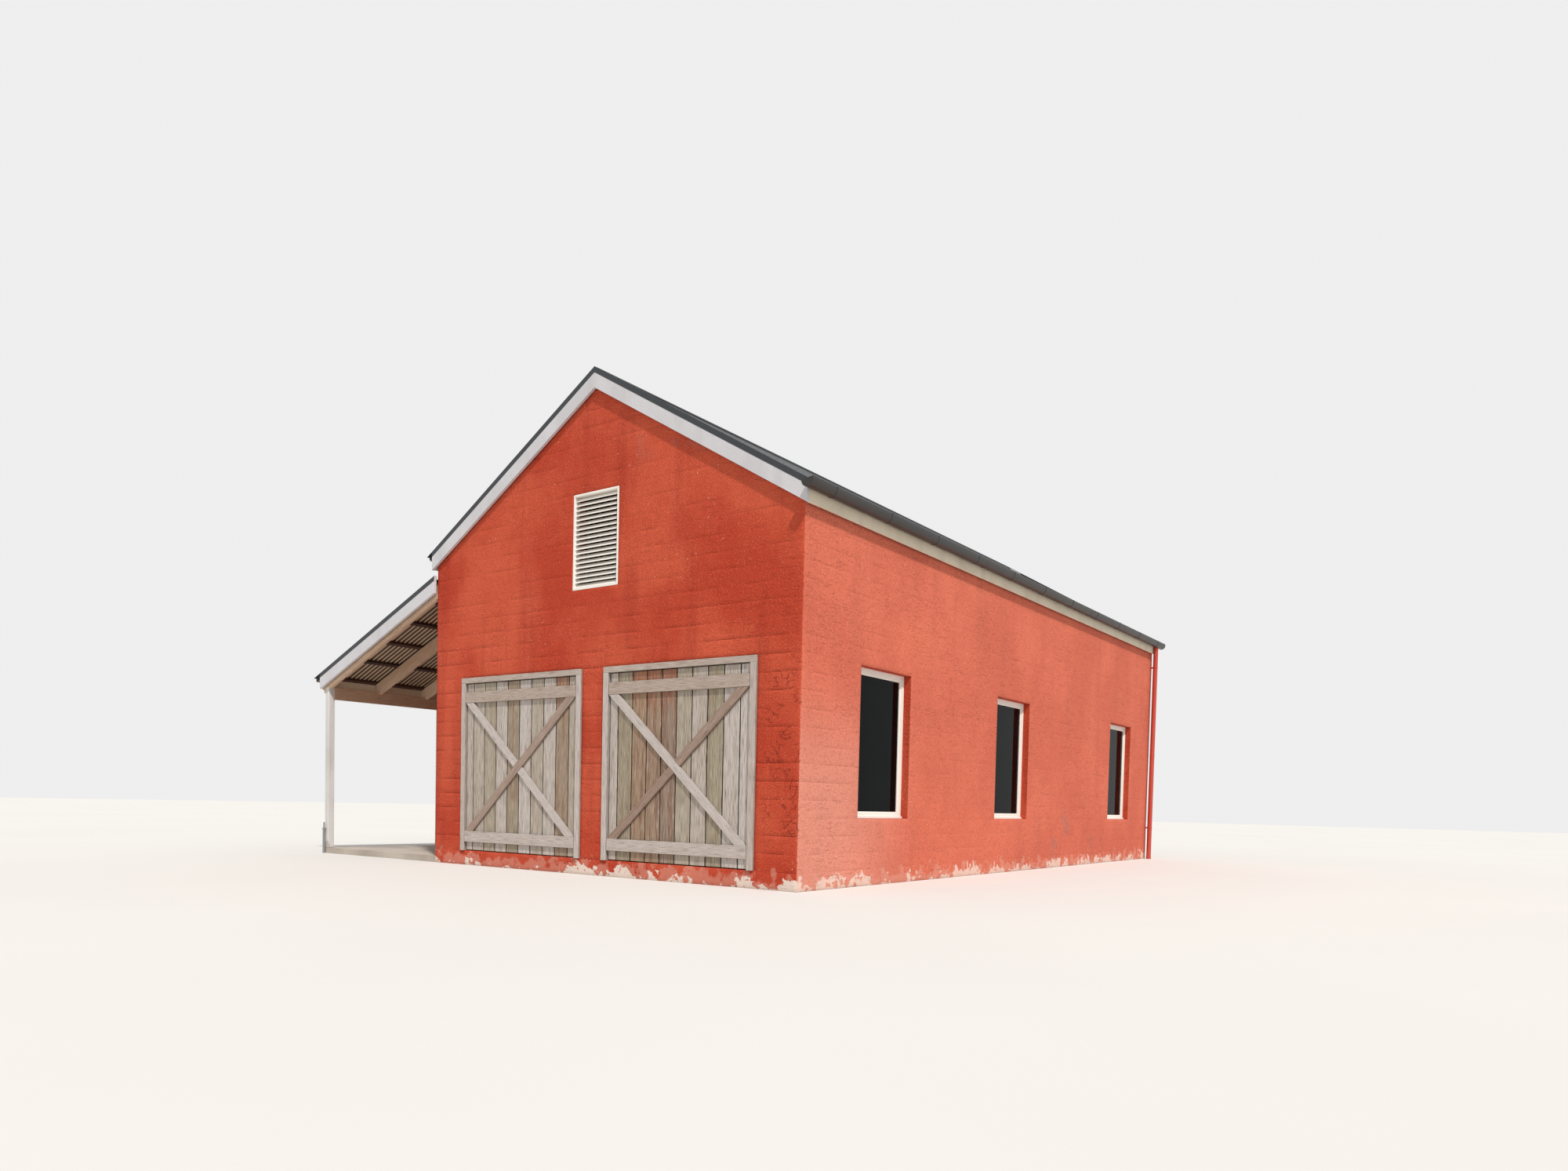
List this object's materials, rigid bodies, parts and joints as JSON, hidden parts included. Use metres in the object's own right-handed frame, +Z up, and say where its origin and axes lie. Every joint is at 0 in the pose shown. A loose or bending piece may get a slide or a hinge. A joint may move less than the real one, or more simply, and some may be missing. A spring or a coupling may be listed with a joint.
{
  "type": "barn with lean-to",
  "caption": "Gabled blockwork barn with braced swinging doors, side windows, louvred gable vents, a corrugated metal roof and an open lean-to on timber posts.",
  "frame": {"origin": "centre of the barn's own footprint at ground level, under the floor slab", "axes": "+Z up, -Y towards the gable with the doors, +X towards the side wall with the gutter, so the lean-to is on the -X side"},
  "size_m": [9.7521, 12.76, 6.3054],
  "materials": {
    "red_blockwork": "painted matt",
    "floor_concrete": "trowelled, matt",
    "white_aluminium": "powder coated, satin",
    "window_glass": "clear, dark behind",
    "weathered_timber": "rough sawn, weathered grey",
    "hinge_steel": "dull",
    "roof_timber": "sawn, matt",
    "charcoal_sheet": "coated, satin",
    "offwhite_timber": "painted, satin",
    "red_metal": "painted, satin",
    "cream_timber": "painted, weathered",
    "lean_to_timber": "sawn, matt",
    "brown_batten": "stained, matt",
    "galvanised_pipe": "galvanised, dull"
  },
  "bodies": {
    "barn": {"floor_slab": "floor_concrete", "front_left_pier": "red_blockwork", "front_middle_pier": "red_blockwork", "front_right_pier": "red_blockwork", "front_plinth": "red_blockwork", "front_gable": "red_blockwork", "right_wall": "red_blockwork", "left_wall": "red_blockwork", "rear_wall": "red_blockwork", "vent_frames": "white_aluminium", "vent_blades": "white_aluminium", "window_frames": "white_aluminium", "window_sashes": "white_aluminium", "window_glass": "window_glass", "door_frames": "weathered_timber", "frame_hinges": "hinge_steel", "wall_plates": "roof_timber", "rafters": "roof_timber", "ridge_beam": "roof_timber", "roof_battens": "roof_timber", "left_roof_sheet": "charcoal_sheet", "right_roof_sheet": "charcoal_sheet", "ridge_cap": "charcoal_sheet", "barge_boards": "offwhite_timber", "barge_caps": "charcoal_sheet", "fascias": "offwhite_timber", "gutter": "charcoal_sheet", "gutter_brackets": "charcoal_sheet", "downpipe": "red_metal", "downpipe_clips": "red_metal", "lean_to_slab": "floor_concrete", "lean_to_posts": "cream_timber", "lean_to_beam": "lean_to_timber", "lean_to_ledger": "lean_to_timber", "lean_to_rafters": "lean_to_timber", "lean_to_battens": "brown_batten", "lean_to_sheet": "charcoal_sheet", "lean_to_flashing": "charcoal_sheet", "post_pipe": "galvanised_pipe"},
    "left_door": {"left_door_boards": "weathered_timber", "left_door_rails": "weathered_timber", "left_door_braces": "weathered_timber", "left_door_hinges": "hinge_steel"},
    "right_door": {"right_door_boards": "weathered_timber", "right_door_rails": "weathered_timber", "right_door_braces": "weathered_timber", "right_door_hinges": "hinge_steel"}
  },
  "joints": [
    {"name": "left_door_swing", "type": "hinge", "parent": "barn", "child": "left_door", "pos_m": [-2.508, -6.161, 1.35], "axis": [0, 0, 1], "range_deg": [0, 95]},
    {"name": "right_door_swing", "type": "hinge", "parent": "barn", "child": "right_door", "pos_m": [2.508, -6.161, 1.35], "axis": [0, 0, -1], "range_deg": [0, 95]}
  ]
}
